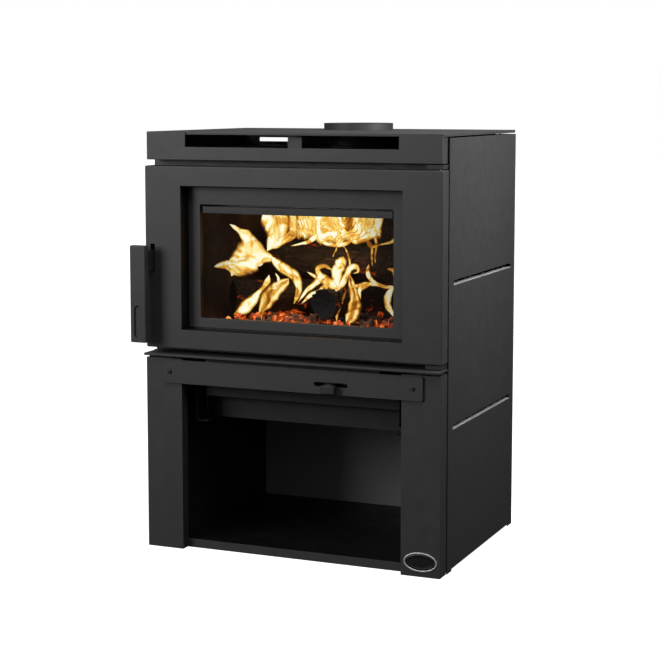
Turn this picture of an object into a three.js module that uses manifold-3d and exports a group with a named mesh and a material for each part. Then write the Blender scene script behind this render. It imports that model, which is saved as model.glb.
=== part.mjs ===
// Freestanding wood burning stove: firebox with a glazed door over an open wood store.
// Millimetres, +Z up, front of the stove at -Y. The origin is on the floor, in the middle of the body.
import * as THREE from 'three';
import { mergeVertices } from 'three/addons/utils/BufferGeometryUtils.js';
import Module from 'manifold-3d';

const wasm = await Module();
wasm.setup();

// ---------------------------------------------------------------- driving dimensions

const GAP = 0.3; // clearance between pieces that touch
const SHEET = 3; // casing sheet
const THIN = 2; // lining sheet

const body = { halfWidth: 339.1, front: -245, rear: 245, sideTop: 892.6 };
const topPlate = { halfWidth: 335.9, rear: 251.6, top: 901.5, thickness: 6.4 };
const flue = { y: 141.8, outer: 78.1, inner: 76.2, rim: 916.2, flange: 92 };
const hood = {
  halfWidth: 333.8, front: -239.4, bottom: 841.8, returnDepth: 32, latchReturnDepth: 47,
  slotHalfWidth: 241.7, slotBottom: 869.5,
};
const deflector = { halfWidth: 217, rear: -150, dividerLeft: -14.2, dividerRight: 18.4, dividerY: -215 };
const side = {
  front: -207.8, latchFront: -191.2, skin: 2.5, rearReturn: 37, footFront: 29.4, footRear: 29.6, footHeight: 4.5,
};
const sill = { depth: 16, thickness: 1.5, slotHeight: 10, bottoms: { lower: 296.3, upper: 594 } };
const pillar = { halfWidth: 336.7, inner: 251, top: 416.6, returnDepth: 25.6 };
const ledge = {
  halfWidth: 337, front: -256.7, rear: -150, bottom: 421.6, top: 427.3,
  spacer: { outer: 333, inner: 277, front: -238 },
};
const store = { wallX: 275.2, floorTop: 18.7, floorFront: -222.8, backY: 222.5 };
const rearCasing = {
  halfWidth: 334, y: 239.9, step: 421.6, top: 892, flangeTop: 868,
  airSlot: { inner: 190, outer: 295, bottom: 870.3, top: 879.5 },
  louvre: { x: [-210, -70, 70, 210], z: [470, 505, 540, 575], halfWidth: 50, height: 8 },
};

const door = {
  halfWidth: 337.2, front: -243.8, depth: 34, bottom: 438.2, top: 829.2, skin: 4, corner: 3,
  windowHalfWidth: 251.5, windowBottom: 479.5, windowTop: 787.5,
};
const inner = {
  halfWidth: 258, bottom: 470, top: 797, rear: -201.8,
  front: -213.2, faceHalfWidth: 248.5, faceBottom: 482.8, faceTop: 785,
  openHalfWidth: 220.6, openBottom: 503.4, openTop: 746.7,
};
const airwash = { bottom: 728, top: 742.8, front: -208, step: -204.3, halfWidth: 217 };
const seal = { halfWidth: 288, bottom: 444, top: 823, width: 12, outerCorner: 14, innerCorner: 4 };
const glass = { halfWidth: 232, bottom: 492, top: 755, thickness: 5, gasket: 1.6, gasketWidth: 8 };
const hinge = { x: 329, y: -231.8, pin: 4, hole: 4.4, left: 300, right: 335.2, bracketFront: -238.5 };
const handle = {
  left: -352.2, right: -315.2, front: -285.8, rear: -271.8, bottom: 452.5, top: 660.5,
  pocketX: -333.6, pocketHalfWidth: 9.2, pocketBottom: 462, pocketTop: 532.5, pocketDepth: 4,
  armX: -319.5, armHalf: 3, armBottom: 605.5, armTop: 650, pivotY: -226, pivotZ: 626, pin: 4, pinLeft: -333.9,
  doorSlot: { halfWidth: 5.2, bottom: 604, top: 662 }, panSlot: { left: -327, right: -312, bottom: 592, top: 652 },
};
const frontFrame = {
  halfWidth: 329, latchSide: -338.8, bottom: 428, top: 841, front: -196.5, thickness: 5,
  openHalfWidth: 262, openBottom: 466, openTop: 801,
};
const latch = {
  notchRight: -311, notchBottom: 588, notchTop: 652, strikeLeft: -331, strikeRight: -304,
  strikeBottom: 584, strikeTop: 662, pocketLeft: -328.5, pocketRight: -310.5, catchBottom: 632, catchDepth: 12,
};
const firebox = { halfWidth: 300, front: -191.2, rear: 223.5, bottom: 428, top: 862, wall: 5 };
const brick = {
  thickness: 32, halfWidth: 294.5, bottom: 433.4, floorTop: 464, wallTop: 735, front: -188, rear: 217.5,
  jointWidth: 1.5, jointDepth: 2,
};
const baffle = { bottom: 757, thickness: 25, front: -120 };
const airTube = { radius: 12.5, wall: 2, z: 742, firstY: -150, pitch: 75, count: 3, halfLength: 261 };
const ash = { holeHalfX: 60, holeFront: -140, holeRear: -50, chuteBottom: 362 };

const cover = {
  left: -290.5, right: 298.8, front: -250.3, thickness: 5, bottom: 364, top: 414.5, corner: 4,
  slotLeft: 60, slotRight: 135.4, slotBottom: 380, slotTop: 389.2, screwX: 277.4, screwZ: 389,
};
const knob = { left: 81.8, right: 112.2, bottom: 368, top: 385.4, front: -268.8, rear: -256 };
const bar = { halfWidth: 6, bottom: 382.8, top: 387 };
const airBox = { halfWidth: 200, front: -235, rear: -165, bottom: 366, top: 421 };
const drawer = {
  wallX: 223.4, bottom: 277.4, rim: 350, lipFront: -183.8, frontY: -143.8, rear: 156,
  lipHalfWidth: 225, lipBottom: 329.6, lipTop: 352, sheet: 1.5,
};
const rail = { x: 240.4, bottom: 275.1, flange: 26, front: -197, rear: 190 };
const badge = { x: 294.2, z: 31.2, halfWidth: 36.5, halfHeight: 20.5 };

// ---------------------------------------------------------------- solids

/** A closed three.js geometry as a solid that can be cut and joined. */
function solid(geometry) {
  geometry.deleteAttribute('normal');
  geometry.deleteAttribute('uv');
  const merged = mergeVertices(geometry, 1e-4);
  return new wasm.Manifold(new wasm.Mesh({
    numProp: 3,
    vertProperties: new Float32Array(merged.attributes.position.array),
    triVerts: new Uint32Array(merged.index.array),
  }));
}

/** Box between two corners. */
function box([x0, y0, z0], [x1, y1, z1]) {
  const geometry = new THREE.BoxGeometry(x1 - x0, y1 - y0, z1 - z0);
  geometry.translate((x0 + x1) / 2, (y0 + y1) / 2, (z0 + z1) / 2);
  return solid(geometry);
}

function cut(target, ...tools) {
  return tools.reduce((result, tool) => result.subtract(tool), target);
}

function join(...parts) {
  return parts.reduce((result, part) => result.add(part));
}

/** Rectangle outline with rounded corners. */
function roundedRect(x0, y0, x1, y1, radius) {
  const shape = new THREE.Shape();
  shape.moveTo(x0 + radius, y0);
  shape.absarc(x1 - radius, y0 + radius, radius, -Math.PI / 2, 0);
  shape.absarc(x1 - radius, y1 - radius, radius, 0, Math.PI / 2);
  shape.absarc(x0 + radius, y1 - radius, radius, Math.PI / 2, Math.PI);
  shape.absarc(x0 + radius, y0 + radius, radius, Math.PI, 1.5 * Math.PI);
  return shape;
}

function polygon(points) {
  return new THREE.Shape(points.map(([x, y]) => new THREE.Vector2(x, y)));
}

/** Outline in the XY plane, extruded upwards. */
function extrudeZ(shape, z0, z1, curveSegments = 6) {
  const geometry = new THREE.ExtrudeGeometry(shape, { depth: z1 - z0, bevelEnabled: false, curveSegments });
  geometry.translate(0, 0, z0);
  return solid(geometry);
}

/** Outline in the XZ plane, extruded along Y. */
function extrudeY(shape, y0, y1, curveSegments = 6) {
  const geometry = new THREE.ExtrudeGeometry(shape, { depth: y1 - y0, bevelEnabled: false, curveSegments });
  geometry.rotateX(Math.PI / 2);
  geometry.translate(0, y1, 0);
  return solid(geometry);
}

/** Outline in the YZ plane, extruded along X. */
function extrudeX(shape, x0, x1, curveSegments = 6) {
  const geometry = new THREE.ExtrudeGeometry(shape, { depth: x1 - x0, bevelEnabled: false, curveSegments });
  geometry.applyMatrix4(new THREE.Matrix4().set(0, 0, 1, x0, 1, 0, 0, 0, 0, 1, 0, 0, 0, 0, 0, 1));
  return solid(geometry);
}

/** Outline with rounded front edges, in the XZ plane, extruded along Y from the front face. */
function roundedPlate(x0, z0, x1, z1, front, rear, edge) {
  const shape = roundedRect(x0 + edge, z0 + edge, x1 - edge, z1 - edge, 0.4);
  const geometry = new THREE.ExtrudeGeometry(shape, {
    depth: rear - front - edge, bevelEnabled: true, bevelThickness: edge, bevelSize: edge,
    bevelSegments: 3, curveSegments: 1,
  });
  geometry.rotateX(Math.PI / 2);
  geometry.translate(0, rear, 0);
  const half = solid(geometry);
  return cut(half, box([x0 - 1, rear, z0 - 1], [x1 + 1, rear + 2 * edge, z1 + 1]));
}

/** Cylinder along an axis, 'x', 'y' or 'z', between two places on it. */
function rod(axis, centre, radius, from, to, segments = 24) {
  const geometry = new THREE.CylinderGeometry(radius, radius, to - from, segments);
  geometry.translate(0, (from + to) / 2, 0);
  if (axis === 'z') geometry.rotateX(Math.PI / 2);
  if (axis === 'x') geometry.rotateZ(-Math.PI / 2);
  const [a, b] = centre;
  if (axis === 'x') geometry.translate(0, a, b);
  if (axis === 'y') geometry.translate(a, 0, b);
  if (axis === 'z') geometry.translate(a, b, 0);
  return solid(geometry);
}

/** Flat rectangular ring in the XZ plane. */
function ring(outer, hole, y0, y1) {
  return cut(
    box([-outer.x, y0, outer.z0], [outer.x, y1, outer.z1]),
    box([-hole.x, y0 - 1, hole.z0], [hole.x, y1 + 1, hole.z1]),
  );
}

const mirrorX = (part) => part.mirror([1, 0, 0]);

// ---------------------------------------------------------------- materials and the scene

const look = (color, roughness, metalness = 0) => ({ color, roughness, metalness });
const paint = look(0x303031, 0.55, 0.3);
const darkPaint = look(0x1c1c1d, 0.7, 0.2);
const plainSteel = look(0xb9bbbc, 0.35, 0.9);
const firebrickClay = look(0xb49c7c, 0.95);
const rope = look(0x7d7a74, 0.95);
const ceramicGlass = look(0x1a1512, 0.05);
const bark = look(0x2c211b, 0.95);
const char = look(0x1e1714, 1);

const stove = new THREE.Group();

/** Adds a solid to the stove as a named mesh with its own material. */
function piece(name, part, finish) {
  const { numProp, vertProperties, triVerts } = part.getMesh();
  const geometry = new THREE.BufferGeometry();
  geometry.setAttribute('position', new THREE.BufferAttribute(new Float32Array(vertProperties), numProp));
  geometry.setIndex(new THREE.BufferAttribute(new Uint32Array(triVerts), 1));
  geometry.computeVertexNormals();
  const mesh = new THREE.Mesh(geometry, new THREE.MeshStandardMaterial(finish));
  mesh.name = name;
  stove.add(mesh);
}

/** The left piece as drawn, and its mirror image on the right. */
function pair(name, leftPart, finish) {
  piece(`${name}_left`, leftPart, finish);
  piece(`${name}_right`, mirrorX(leftPart), finish);
}

// ---------------------------------------------------------------- base and wood store

function addBase() {
  const halfWidth = store.wallX - THIN - GAP;
  const trayTop = store.floorTop - SHEET - GAP;
  const front = body.front + pillar.returnDepth + GAP;
  const tray = cut(
    box([-halfWidth, front, 0], [halfWidth, store.backY - GAP, trayTop]),
    box([-halfWidth + SHEET, front + SHEET, SHEET], [halfWidth - SHEET, store.backY - GAP - SHEET, 100]),
  );
  piece('base_plate', tray, darkPaint);
  const floor = join(
    box([-halfWidth, store.floorFront, store.floorTop - SHEET], [halfWidth, store.backY - GAP, store.floorTop]),
    box([-halfWidth, store.floorFront, 0], [halfWidth, store.floorFront + SHEET, store.floorTop]),
  );
  const postClearance = box([-400, body.front, -1], [-pillar.inner + GAP, front, 30]);
  piece('store_floor', cut(floor, postClearance, mirrorX(postClearance)), paint);
}

function addPillars() {
  const [x0, x1] = [-pillar.halfWidth, -pillar.inner];
  const back = body.front + pillar.returnDepth;
  const outerBack = side.front - GAP;
  const section = polygon([
    [x0, body.front], [x1, body.front], [x1, back], [x1 - SHEET, back],
    [x1 - SHEET, body.front + SHEET], [x0 + SHEET, body.front + SHEET], [x0 + SHEET, outerBack], [x0, outerBack],
  ]);
  const screwHole = rod('y', [-cover.screwX, cover.screwZ], 3.3, body.front - 5, body.front + 8, 12);
  pair('pillar', cut(extrudeZ(section, 0, pillar.top), screwHole), paint);
}

function addSidePanels() {
  const [x0, x1] = [-body.halfWidth, -body.halfWidth + side.skin];
  const section = polygon([
    [x0, side.front], [x1, side.front], [x1, body.rear - side.skin],
    [x1 + side.rearReturn, body.rear - side.skin], [x1 + side.rearReturn, body.rear], [x0, body.rear],
  ]);
  const slotFront = side.front + side.footFront;
  const slotRear = body.rear - side.footRear;
  const slots = Object.values(sill.bottoms).map((z) => (
    box([x0 - 1, slotFront, z], [x1 + 1, slotRear, z + sill.slotHeight])
  ));
  const footNotch = box([x0 - 1, slotFront, -1], [x1 + 1, slotRear, side.footHeight]);
  const panel = cut(extrudeZ(section, 0, body.sideTop), ...slots, footNotch);
  const latchRelief = box(
    [x0 - 1, side.front - 1, ledge.top + GAP], [x1 + 1, side.latchFront, body.sideTop + 1]);
  piece('side_panel_left', cut(panel, latchRelief), paint);
  piece('side_panel_right', mirrorX(panel), paint);
  for (const [name, z] of Object.entries(sill.bottoms)) {
    const strip = box(
      [x0, slotFront + GAP, z + GAP],
      [x0 + sill.depth, slotRear - GAP, z + GAP + sill.thickness],
    );
    pair(`side_sill_${name}`, strip, plainSteel);
  }
}

function addWoodStore() {
  const y0 = body.front + pillar.returnDepth + GAP;
  const wall = box(
    [-store.wallX, y0, SHEET + GAP],
    [-store.wallX + THIN, store.backY - GAP, ledge.bottom - GAP],
  );
  const behindLedge = box([-store.wallX - 1, ledge.rear, 400], [-store.wallX + THIN + 1, 300, 500]);
  pair('store_wall', cut(wall, cut(behindLedge, box([-300, -300, 0], [300, 300, ledge.bottom - GAP]))), darkPaint);
}

/** Rear casing: one folded sheet that closes the wood store, then steps out behind the firebox. */
function addBackPanel() {
  const r = rearCasing;
  const bottom = SHEET + GAP;
  const rear = r.y + THIN;
  const fold = polygon([
    [store.backY, bottom], [store.backY + THIN, bottom], [store.backY + THIN, r.step], [rear, r.step],
    [rear, r.top], [r.y, r.top], [r.y, r.step + THIN], [store.backY, r.step + THIN],
  ]);
  const flange = box([-r.halfWidth, store.backY, bottom], [-r.halfWidth + THIN, rear, r.flangeTop]);
  const airSlot = box([-r.airSlot.outer, r.y - 1, r.airSlot.bottom], [-r.airSlot.inner, rear + 1, r.airSlot.top]);
  const louvres = r.louvre.x.flatMap((x) => r.louvre.z.map((z) => (
    box([x - r.louvre.halfWidth, r.y - 1, z], [x + r.louvre.halfWidth, rear + 1, z + r.louvre.height])
  )));
  const panel = join(extrudeX(fold, -r.halfWidth, r.halfWidth), flange, mirrorX(flange));
  piece('back_panel', cut(panel, airSlot, mirrorX(airSlot), ...louvres), paint);
}

// ---------------------------------------------------------------- firebox and its lining

function addFirebox() {
  const { halfWidth: x, front, rear, bottom, top, wall } = firebox;
  const shell = cut(
    box([-x, front, bottom], [x, rear, top]),
    box([-x + wall, front - 1, bottom + wall], [x - wall, rear - wall, top - wall]),
    rod('z', [0, flue.y], flue.inner, top - 20, top + 20, 48),
    box([-ash.holeHalfX, ash.holeFront, bottom - 1], [ash.holeHalfX, ash.holeRear, bottom + 20]),
  );
  piece('firebox_shell', shell, darkPaint);

  const f = frontFrame;
  const l = latch;
  const latchNotch = box(
    [f.latchSide - 1, f.front - 1, l.notchBottom], [l.notchRight, f.front + f.thickness + 1, l.notchTop]);
  const latchMargin = box([f.latchSide, f.front, f.bottom], [-f.halfWidth + 1, f.front + f.thickness, f.top]);
  const plate = ring(
    { x: f.halfWidth, z0: f.bottom, z1: f.top },
    { x: f.openHalfWidth, z0: f.openBottom, z1: f.openTop },
    f.front, f.front + f.thickness,
  );
  piece('front_frame', cut(join(plate, latchMargin), latchNotch), paint);

  const strikeFront = f.front + f.thickness + GAP;
  const strike = cut(
    join(
      box([l.strikeLeft, strikeFront, l.strikeBottom], [l.strikeRight, strikeFront + 4, l.strikeTop]),
      box([l.strikeLeft, strikeFront, l.catchBottom], [l.strikeRight, strikeFront + l.catchDepth, l.strikeTop]),
    ),
    box([l.pocketLeft, strikeFront - 1, l.notchBottom], [l.pocketRight, strikeFront + 5, l.catchBottom]),
  );
  piece('latch_strike', strike, plainSteel);

  const besidePanel = box([-400, side.front - GAP, 400], [-body.halfWidth + side.skin + GAP, 0, 450]);
  const ledgePlate = roundedPlate(
    -ledge.halfWidth, ledge.bottom, ledge.halfWidth, ledge.top, ledge.front, ledge.rear, 1.5);
  const s = ledge.spacer;
  const spacer = box([-s.outer, s.front, pillar.top + GAP], [-s.inner, ledge.rear - 1, ledge.bottom + 1]);
  piece('hearth_ledge', cut(join(ledgePlate, spacer, mirrorX(spacer)), besidePanel, mirrorX(besidePanel)), paint);

  const chute = cut(
    box([-ash.holeHalfX, ash.holeFront, ash.chuteBottom], [ash.holeHalfX, ash.holeRear, bottom - GAP]),
    box([-ash.holeHalfX + THIN, ash.holeFront + THIN, 0], [ash.holeHalfX - THIN, ash.holeRear - THIN, 500]),
  );
  piece('ash_chute', chute, darkPaint);
}

/** Each wall of bricks is a slab with its joints scored in. */
function addFirebricks() {
  const b = brick;
  const { jointWidth, jointDepth } = brick;
  const ashHole = box([-ash.holeHalfX, ash.holeFront, 400], [ash.holeHalfX, ash.holeRear, 500]);
  const floorJoints = [-196, -98, 98, 196].map((x) => (
    box([x, b.front - 1, b.floorTop - jointDepth], [x + jointWidth, b.rear + 1, b.floorTop + 1])
  ));
  floorJoints.push(box([-400, 20, b.floorTop - jointDepth], [400, 20 + jointWidth, b.floorTop + 1]));
  const floor = box([-b.halfWidth, b.front, b.bottom], [b.halfWidth, b.rear, b.floorTop]);
  piece('firebrick_floor', cut(floor, ashHole, ...floorJoints), firebrickClay);

  const wallBottom = b.floorTop + GAP;
  const backFace = b.rear - b.thickness;
  const courseZ = wallBottom + (b.wallTop - wallBottom) / 2;
  const backJoints = [-177, -59, 59, 177].map((x) => (
    box([x, backFace - 1, 400], [x + jointWidth, backFace + jointDepth, 800])
  ));
  backJoints.push(box([-400, backFace - 1, courseZ], [400, backFace + jointDepth, courseZ + jointWidth]));
  const back = box([-b.halfWidth, backFace, wallBottom], [b.halfWidth, b.rear, b.wallTop]);
  piece('firebrick_back', cut(back, ...backJoints), firebrickClay);

  const sideFace = -b.halfWidth + b.thickness;
  const sideJoints = [-75, 45].map((y) => (
    box([sideFace - jointDepth, y, 400], [sideFace + 1, y + jointWidth, 800])
  ));
  sideJoints.push(box([sideFace - jointDepth, -300, courseZ], [sideFace + 1, 300, courseZ + jointWidth]));
  const wall = box([-b.halfWidth, b.front, wallBottom], [sideFace, backFace - GAP, b.wallTop]);
  pair('firebrick', cut(wall, ...sideJoints), firebrickClay);

  const inside = firebox.halfWidth - firebox.wall - GAP;
  piece('baffle_board', box(
    [-inside, baffle.front, baffle.bottom],
    [inside, firebox.rear - firebox.wall - GAP, baffle.bottom + baffle.thickness]), firebrickClay);
  for (let i = 0; i < airTube.count; i += 1) {
    const centre = [airTube.firstY + i * airTube.pitch, airTube.z];
    const { radius, wall: tubeWall, halfLength } = airTube;
    const tube = cut(
      rod('x', centre, radius, -halfLength, halfLength, 20),
      rod('x', centre, radius - tubeWall, -halfLength - 1, halfLength + 1, 20),
    );
    piece(`secondary_air_tube_${i + 1}`, tube, plainSteel);
  }
}

/** A log: a many-sided tapered prism about its middle, turned by yaw and raised at one end by tilt. */
function log(length, radius, sides, [x, y, z], [yaw, tilt]) {
  const geometry = new THREE.CylinderGeometry(radius * 0.9, radius, length, sides);
  geometry.rotateZ(Math.PI / 2);
  geometry.rotateY(-tilt);
  geometry.rotateZ(yaw);
  geometry.translate(x, y, z);
  return solid(geometry);
}

/** The load that burns: two logs on the embers and a third across them. */
function addFire() {
  const bedTop = brick.floorTop + 32;
  const bed = polygon([
    [-225, brick.floorTop + GAP], [225, brick.floorTop + GAP], [215, bedTop - 10],
    [140, bedTop], [-150, bedTop], [-218, bedTop - 10],
  ]);
  piece('ember_bed', extrudeY(bed, -165, 130), char);
  piece('log_1', log(245, 38, 9, [-112, -12, bedTop + 38.5], [0.69, 0]), bark);
  piece('log_2', log(230, 37, 8, [52, -18, bedTop + 37.5], [1.36, 0]), bark);
  piece('log_3', log(370, 41, 9, [28, 34, bedTop + 118.5], [0.05, 0]), bark);
}

// ---------------------------------------------------------------- top and hood

function addTop() {
  const edge = 2.5;
  const { halfWidth: x, rear, top, thickness } = topPlate;
  const front = hood.front + SHEET + GAP;
  const outline = roundedRect(-x, front, x, rear, edge);
  const plate = cut(
    extrudeZ(outline, top - thickness, top, 3),
    rod('z', [0, flue.y], flue.outer + GAP, top - 20, top + 20, 64),
  );
  piece('top_plate', plate, paint);

  const flangeTop = firebox.top + GAP + 4;
  const profile = [
    [flue.inner, firebox.top + GAP], [flue.flange, firebox.top + GAP], [flue.flange, flangeTop],
    [flue.outer, flangeTop], [flue.outer, flue.rim], [flue.inner, flue.rim], [flue.inner, firebox.top + GAP],
  ];
  const collar = new THREE.LatheGeometry(profile.map(([r, z]) => new THREE.Vector2(r, z)), 64);
  collar.rotateX(Math.PI / 2);
  collar.translate(0, flue.y, 0);
  piece('flue_collar', solid(collar), darkPaint);
}

function addHood() {
  const { halfWidth: x, front, bottom, returnDepth, slotHalfWidth, slotBottom } = hood;
  const face = roundedPlate(-x, bottom, x, topPlate.top, front, front + SHEET, 1.2);
  const sideReturn = (depth) => box(
    [-x, front + SHEET - 1, bottom + 1], [-x + SHEET, front + depth, topPlate.top - topPlate.thickness - GAP]);
  const bottomReturn = box([-x, front + SHEET - 1, bottom], [x, front + returnDepth, bottom + SHEET]);
  const slot = box([-slotHalfWidth, front - 1, slotBottom], [slotHalfWidth, front + SHEET + 1, topPlate.top + 1]);
  const panel = cut(
    join(face, sideReturn(hood.latchReturnDepth), mirrorX(sideReturn(returnDepth)), bottomReturn), slot);
  piece('hood_panel', panel, paint);

  const plateZ = firebox.top + 4;
  const d = deflector;
  piece('convection_plate', join(
    box([-d.halfWidth, front + SHEET + GAP, plateZ], [d.halfWidth, d.rear, plateZ + THIN]),
    box([d.dividerLeft, d.dividerY, plateZ],
      [d.dividerRight, d.dividerY + SHEET, topPlate.top - topPlate.thickness - GAP]),
  ), paint);
}

// ---------------------------------------------------------------- door

function addDoor() {
  const d = door;
  const rear = d.front + d.depth;
  const window = (grow, y0, y1) => box(
    [-d.windowHalfWidth - grow, y0, d.windowBottom - grow],
    [d.windowHalfWidth + grow, y1, d.windowTop + grow]);
  const pocket = cut(
    box([-d.halfWidth + SHEET, d.front + d.skin, d.bottom + SHEET],
      [d.halfWidth - SHEET, rear + 1, d.top - SHEET]),
    window(SHEET, d.front, rear + 1),
  );
  const pinHoles = [d.bottom, d.top].map((z) => (
    rod('z', [hinge.x, hinge.y], hinge.pin + GAP, z - 10, z + 10, 20)
  ));
  const { doorSlot, panSlot } = handle;
  const armSlot = box(
    [handle.armX - doorSlot.halfWidth, d.front - 1, doorSlot.bottom],
    [handle.armX + doorSlot.halfWidth, d.front + 10, doorSlot.top]);
  const pivotHole = rod(
    'x', [handle.pivotY, handle.pivotZ], handle.pin + GAP, -d.halfWidth - 5, handle.armX - 8, 16);
  const shell = cut(
    roundedPlate(-d.halfWidth, d.bottom, d.halfWidth, d.top, d.front, rear, d.corner),
    window(0, d.front - 1, rear + 1), pocket, armSlot, pivotHole, ...pinHoles,
  );
  piece('door_shell', shell, paint);

  const i = inner;
  const openingRound = extrudeY(
    roundedRect(-i.openHalfWidth, i.openBottom, i.openHalfWidth, i.openTop, 4), i.front - 1, i.rear + 1, 3);
  const mounting = box([-i.halfWidth, rear + GAP, i.bottom], [i.halfWidth, i.rear, i.top]);
  const face = box([-i.faceHalfWidth, i.front, i.faceBottom], [i.faceHalfWidth, rear + 1, i.faceTop]);
  piece('door_inner_frame', cut(join(mounting, face), openingRound), paint);

  const backPan = ring(
    { x: d.halfWidth - SHEET - GAP, z0: d.bottom + SHEET + GAP, z1: d.top - SHEET - GAP },
    { x: i.halfWidth + 4, z0: i.bottom - 4, z1: i.top + 4 },
    rear - 2.2, rear - 2.2 + THIN,
  );
  piece('door_back_pan', cut(backPan, box(
    [panSlot.left, rear - 10, panSlot.bottom], [panSlot.right, rear + 10, panSlot.top])), darkPaint);

  const a = airwash;
  piece('airwash_bar', join(
    box([-a.halfWidth, a.front, a.bottom], [a.halfWidth, i.rear, a.top]),
    box([-i.openHalfWidth + GAP, a.step, a.bottom], [i.openHalfWidth - GAP, i.rear, a.top]),
  ), paint);

  const g = glass;
  const gasketFront = i.rear + GAP;
  const glassFront = gasketFront + g.gasket + GAP;
  const glassRear = glassFront + g.thickness;
  const pane = { x: g.halfWidth, z0: g.bottom, z1: g.top };
  const inset = (size, by) => ({ x: size.x - by, z0: size.z0 + by, z1: size.z1 - by });
  piece('glass_gasket', ring(pane, inset(pane, g.gasketWidth), gasketFront, gasketFront + g.gasket), rope);
  piece('window_glass', box([-g.halfWidth, glassFront, g.bottom], [g.halfWidth, glassRear, g.top]), ceramicGlass);
  const retainer = join(
    ring(inset(pane, -8), inset(pane, -GAP), gasketFront, glassRear + GAP + SHEET),
    ring(inset(pane, -8), inset(pane, 8), glassRear + GAP, glassRear + GAP + SHEET),
  );
  piece('glass_retainer', retainer, darkPaint);

  const ropeFront = rear + GAP;
  const ropeRear = frontFrame.front - GAP;
  const s = seal;
  const ropeShape = roundedRect(-s.halfWidth, s.bottom, s.halfWidth, s.top, s.outerCorner);
  ropeShape.holes.push(roundedRect(
    -s.halfWidth + s.width, s.bottom + s.width, s.halfWidth - s.width, s.top - s.width, s.innerCorner));
  piece('door_gasket', extrudeY(ropeShape, ropeFront, ropeRear, 3), rope);
}

function addHinges() {
  const bracket = (z0, z1) => cut(
    box([hinge.left, hinge.bracketFront, z0], [hinge.right, frontFrame.front - GAP, z1]),
    rod('z', [hinge.x, hinge.y], hinge.hole, z0 - 1, z1 + 1, 24),
  );
  piece('hinge_bracket_top', bracket(door.top + 2, hood.bottom - 2.2), darkPaint);
  piece('hinge_bracket_bottom', bracket(ledge.top + 1.8, door.bottom - 1.6), darkPaint);
  const pinHeight = 24;
  piece('hinge_pin_top', rod('z', [hinge.x, hinge.y], hinge.pin, door.top + 10 - pinHeight, door.top + 10, 20),
    plainSteel);
  piece('hinge_pin_bottom', rod('z', [hinge.x, hinge.y], hinge.pin, door.bottom - 8, door.bottom + 16, 20),
    plainSteel);
}

// ---------------------------------------------------------------- door handle

function addHandle() {
  const h = handle;
  const grip = roundedPlate(h.left, h.bottom, h.right, h.top, h.front, h.rear, 2);
  const pocket = extrudeY(
    roundedRect(h.pocketX - h.pocketHalfWidth, h.pocketBottom, h.pocketX + h.pocketHalfWidth, h.pocketTop,
      h.pocketHalfWidth - 0.1),
    h.front - 1, h.front + h.pocketDepth, 8);
  piece('handle_grip', cut(grip, pocket), darkPaint);

  const armFront = h.rear + GAP;
  const neck = door.front + door.skin + 3;
  const plate = polygon([
    [armFront, h.armBottom], [neck - 8, h.armBottom], [h.pivotY + 2, h.pivotZ - 14],
    [-199, h.pivotZ - 10], [-177, h.pivotZ - 8], [-177, h.pivotZ + 4], [-200, h.pivotZ + 4],
    [h.pivotY + 4, h.pivotZ + 15], [neck - 8, h.armTop], [armFront, h.armTop],
  ]);
  const arm = cut(
    extrudeX(plate, h.armX - h.armHalf, h.armX + h.armHalf),
    rod('x', [h.pivotY, h.pivotZ], h.pin + GAP, h.armX - 10, h.armX + 10, 16),
  );
  piece('latch_arm', arm, darkPaint);
  piece('handle_pivot_pin', rod('x', [h.pivotY, h.pivotZ], h.pin, h.pinLeft, h.armX + h.armHalf + 6, 16), plainSteel);
}

// ---------------------------------------------------------------- air control

function addAirControl() {
  const c = cover;
  const shape = roundedRect(c.left, c.bottom, c.right, c.top, c.corner);
  const slotRadius = (c.slotTop - c.slotBottom) / 2 - 0.01;
  const slot = extrudeY(
    roundedRect(c.slotLeft, c.slotBottom, c.slotRight, c.slotTop, slotRadius), c.front - 1, body.front + 1, 6);
  const screwHoles = [-1, 1].map((s) => rod('y', [s * c.screwX, c.screwZ], 3.3, c.front - 1, body.front + 1, 16));
  piece('cover_plate', cut(extrudeY(shape, c.front, c.front + c.thickness - GAP, 4), slot, ...screwHoles), paint);

  const dome = { radius: 4.8, height: 2.8 };
  const headProfile = [[0, 0], [dome.radius, 0], [dome.radius, 1], [dome.radius * 0.75, 2.2], [2.6, dome.height],
    [2.6, 1.2], [0, 1.2]];
  const head = new THREE.LatheGeometry(headProfile.map(([r, y]) => new THREE.Vector2(r, -y)).reverse(), 20);
  head.translate(-c.screwX, c.front - GAP, c.screwZ);
  const screw = join(solid(head), rod('y', [-c.screwX, c.screwZ], 3, c.front - GAP - 0.5, body.front + 7, 12));
  pair('cover_screw', screw, plainSteel);

  const k = knob;
  const centreX = (k.left + k.right) / 2;
  const [rodZ0, rodZ1] = [bar.bottom, bar.top];
  const slideBar = box(
    [centreX - bar.halfWidth, k.front + 5, rodZ0], [centreX + bar.halfWidth, airBox.rear - 12, rodZ1]);
  const damper = box([centreX - 38, airBox.front + 8, rodZ0 - 2], [centreX + 38, airBox.rear - 8, rodZ0 + 0.4]);
  piece('air_slide', join(slideBar, damper), darkPaint);
  const barSocket = box(
    [centreX - bar.halfWidth - GAP, k.front + 5 - GAP, rodZ0 - GAP],
    [centreX + bar.halfWidth + GAP, k.rear + 1, cover.top]);
  piece('air_knob', cut(roundedPlate(k.left, k.bottom, k.right, k.top, k.front, k.rear, 2), barSocket), darkPaint);

  const a = airBox;
  const trough = cut(
    box([-a.halfWidth, a.front, a.bottom], [a.halfWidth, a.rear, a.top]),
    box([-a.halfWidth + THIN, a.front + THIN, a.bottom + THIN], [a.halfWidth - THIN, a.rear - THIN, a.top + 1]),
    box([c.slotLeft - 8, a.front - 1, rodZ0 - 4], [c.slotRight + 8, a.front + THIN + 1, rodZ1 + 3]),
  );
  piece('air_box', trough, darkPaint);
}

// ---------------------------------------------------------------- ash drawer

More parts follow.
